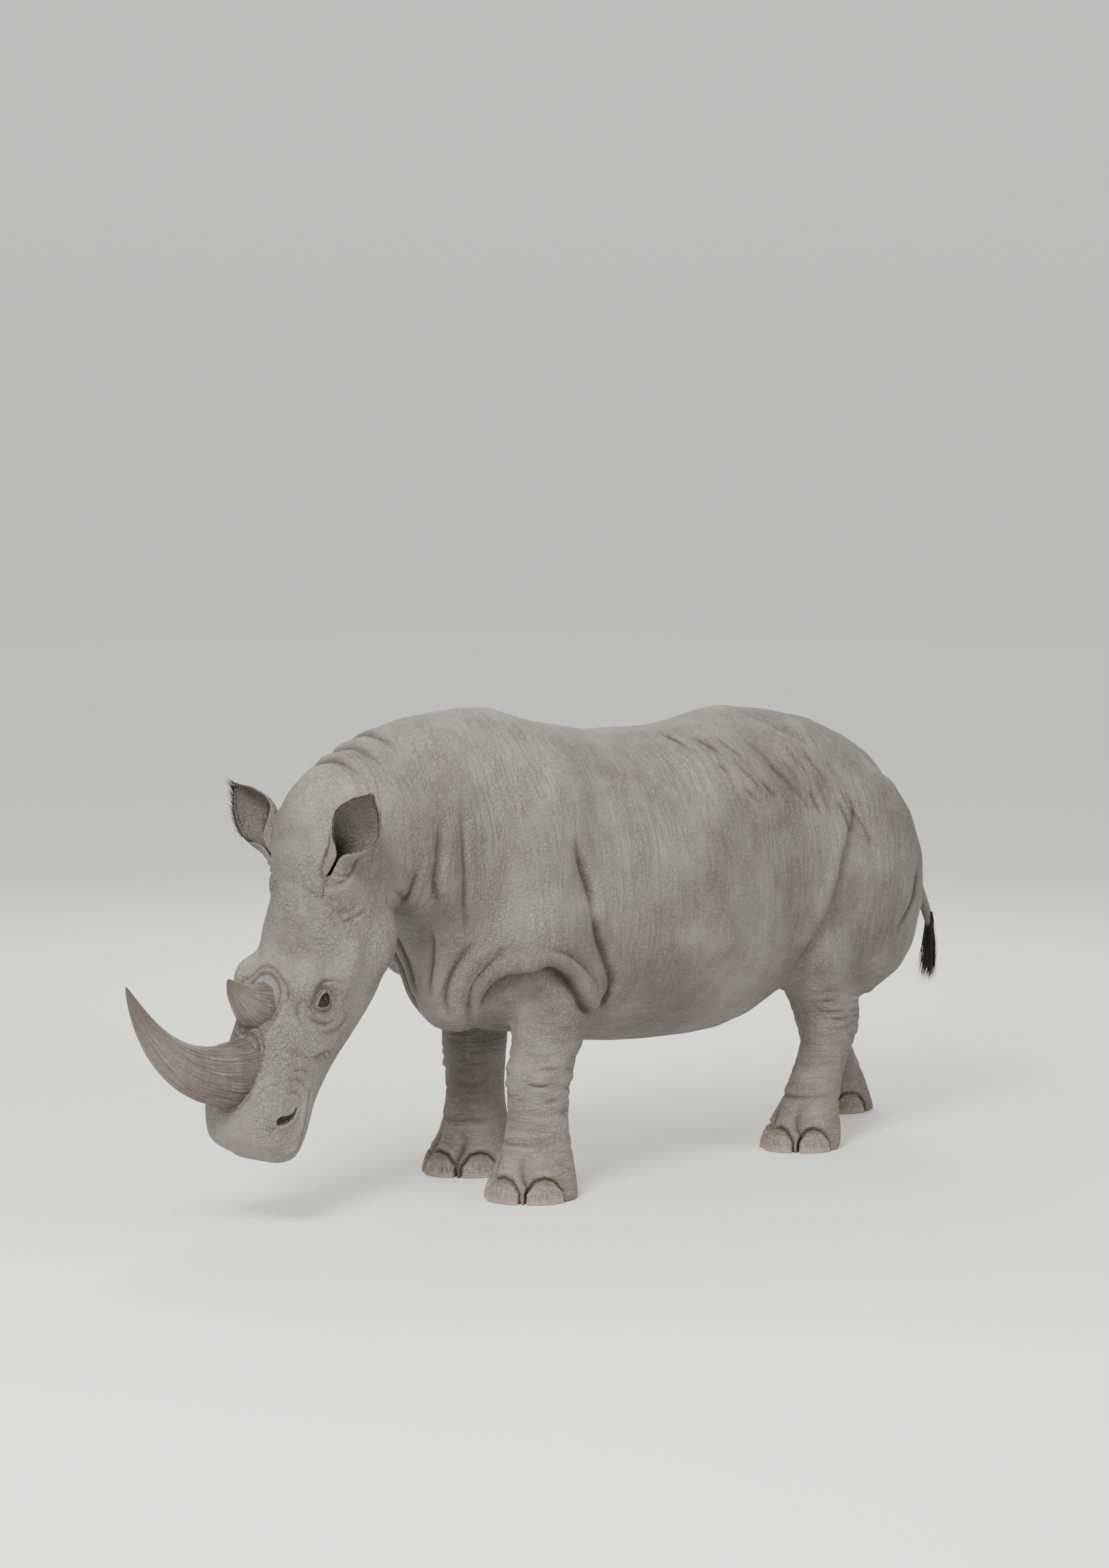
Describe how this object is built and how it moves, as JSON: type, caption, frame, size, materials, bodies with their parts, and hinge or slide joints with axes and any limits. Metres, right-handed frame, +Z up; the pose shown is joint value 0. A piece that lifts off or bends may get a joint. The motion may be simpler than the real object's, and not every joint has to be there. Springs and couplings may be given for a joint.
{
  "type": "white rhinoceros",
  "caption": "Life-size still model of an adult white rhinoceros walking with its head lowered, with its nose horns, large cupped ears and a tufted tail.",
  "frame": {"origin": "on the floor, under the middle of the animal's box", "axes": "+X to the animal's left, -Y the way it faces, +Z up"},
  "size_m": [0.9722, 4.0686, 1.7116],
  "materials": {
    "hide": "dry, finely cracked grey hide with a dusting of pale soil",
    "horn": "fibrous keratin, rough at the foot and worn smooth towards the tip",
    "toenail": "dull hoof-like keratin, worn at the ground",
    "eye": "wet, very dark brown",
    "tail_hair": "coarse black bristles"
  },
  "bodies": {
    "root": {"trunk": "hide", "neck": "hide", "head": "hide", "lower_jaw": "hide", "left_ear": "hide", "right_ear": "hide", "tail": "hide", "tail_tuft": "tail_hair", "front_left_leg": "hide", "front_left_foot": "hide", "front_left_middle_toenail": "toenail", "front_left_outer_toenail": "toenail", "front_left_inner_toenail": "toenail", "front_right_leg": "hide", "front_right_foot": "hide", "front_right_middle_toenail": "toenail", "front_right_outer_toenail": "toenail", "front_right_inner_toenail": "toenail", "hind_left_leg": "hide", "hind_left_foot": "hide", "hind_left_middle_toenail": "toenail", "hind_left_outer_toenail": "toenail", "hind_left_inner_toenail": "toenail", "hind_right_leg": "hide", "hind_right_foot": "hide", "hind_right_middle_toenail": "toenail", "hind_right_outer_toenail": "toenail", "hind_right_inner_toenail": "toenail", "front_horn": "horn", "rear_horn": "horn", "left_eye": "eye", "right_eye": "eye"}
  },
  "joints": []
}
